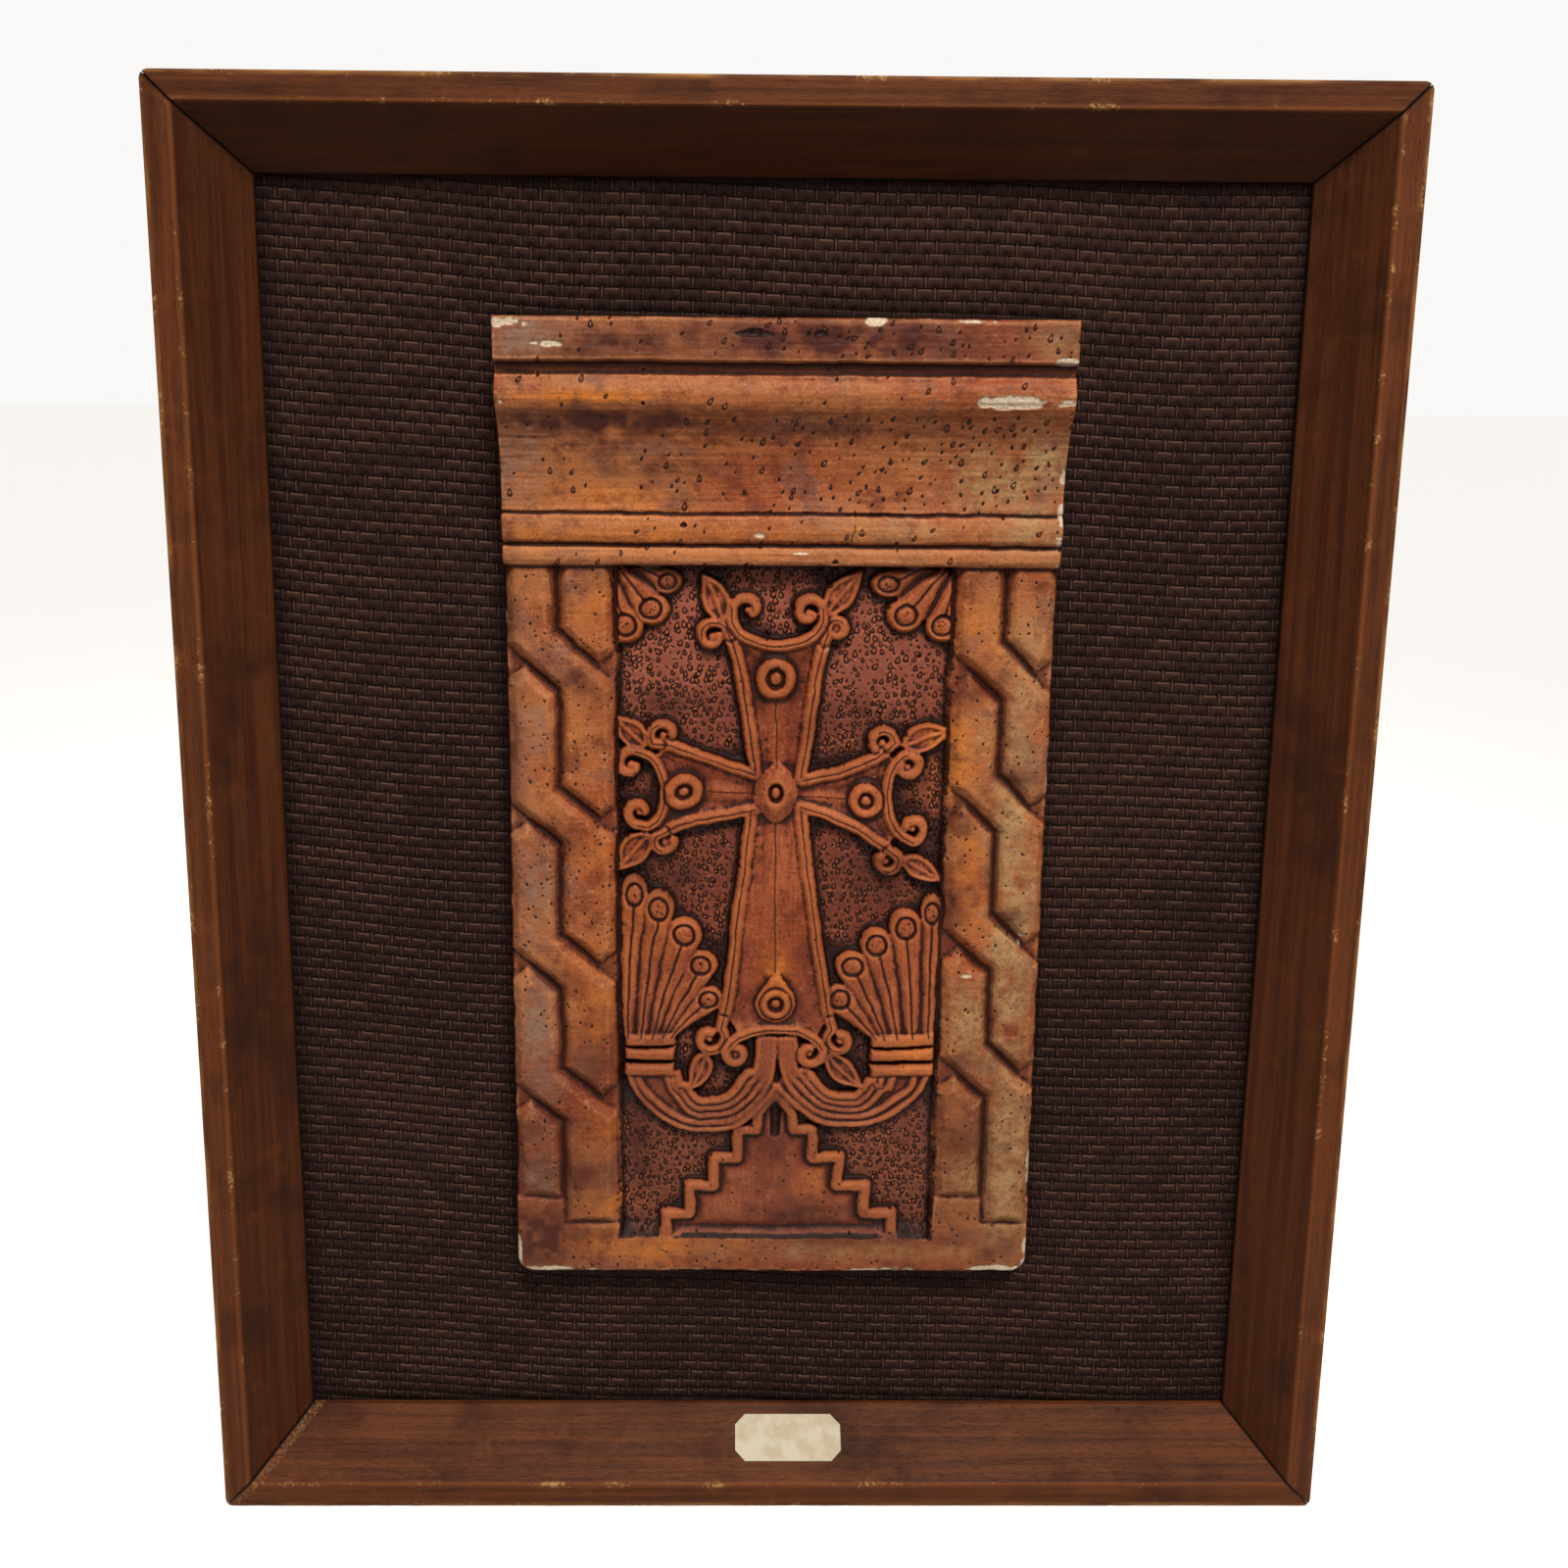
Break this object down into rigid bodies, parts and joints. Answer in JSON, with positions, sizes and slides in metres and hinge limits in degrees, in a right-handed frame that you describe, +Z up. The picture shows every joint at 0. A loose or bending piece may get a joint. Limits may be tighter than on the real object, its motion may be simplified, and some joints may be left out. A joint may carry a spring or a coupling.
{
  "type": "framed khachkar cross stone plaque",
  "caption": "Cast plaster relief copy of a carved cross stone with a moulded cornice and braided borders, on dark woven cloth in a mitred wooden shadow frame, to hang on a wall.",
  "frame": {"origin": "middle of the flush back, on the wall plane", "axes": "+Z up, +X to the right as seen from the front, +Y into the wall, so the carved front faces -Y"},
  "size_m": [0.32, 0.0291, 0.4],
  "materials": {
    "stained_wood": "medium dark red-brown stain with a satin varnish, worn paler along the arrises",
    "backing_board": "plain pressed fibreboard",
    "woven_cloth": "coarse dark brown plain weave with a slight sheen",
    "painted_plaster": "cast plaster painted orange-brown, with dark glaze in the recesses and chips down to cream plaster",
    "cream_card": "matt cream card, blank"
  },
  "bodies": {
    "root": {"frame_rail_top": "stained_wood", "frame_rail_bottom": "stained_wood", "frame_rail_left": "stained_wood", "frame_rail_right": "stained_wood", "backing_board": "backing_board", "woven_backing": "woven_cloth", "khachkar_relief": "painted_plaster", "title_label": "cream_card"}
  },
  "joints": []
}
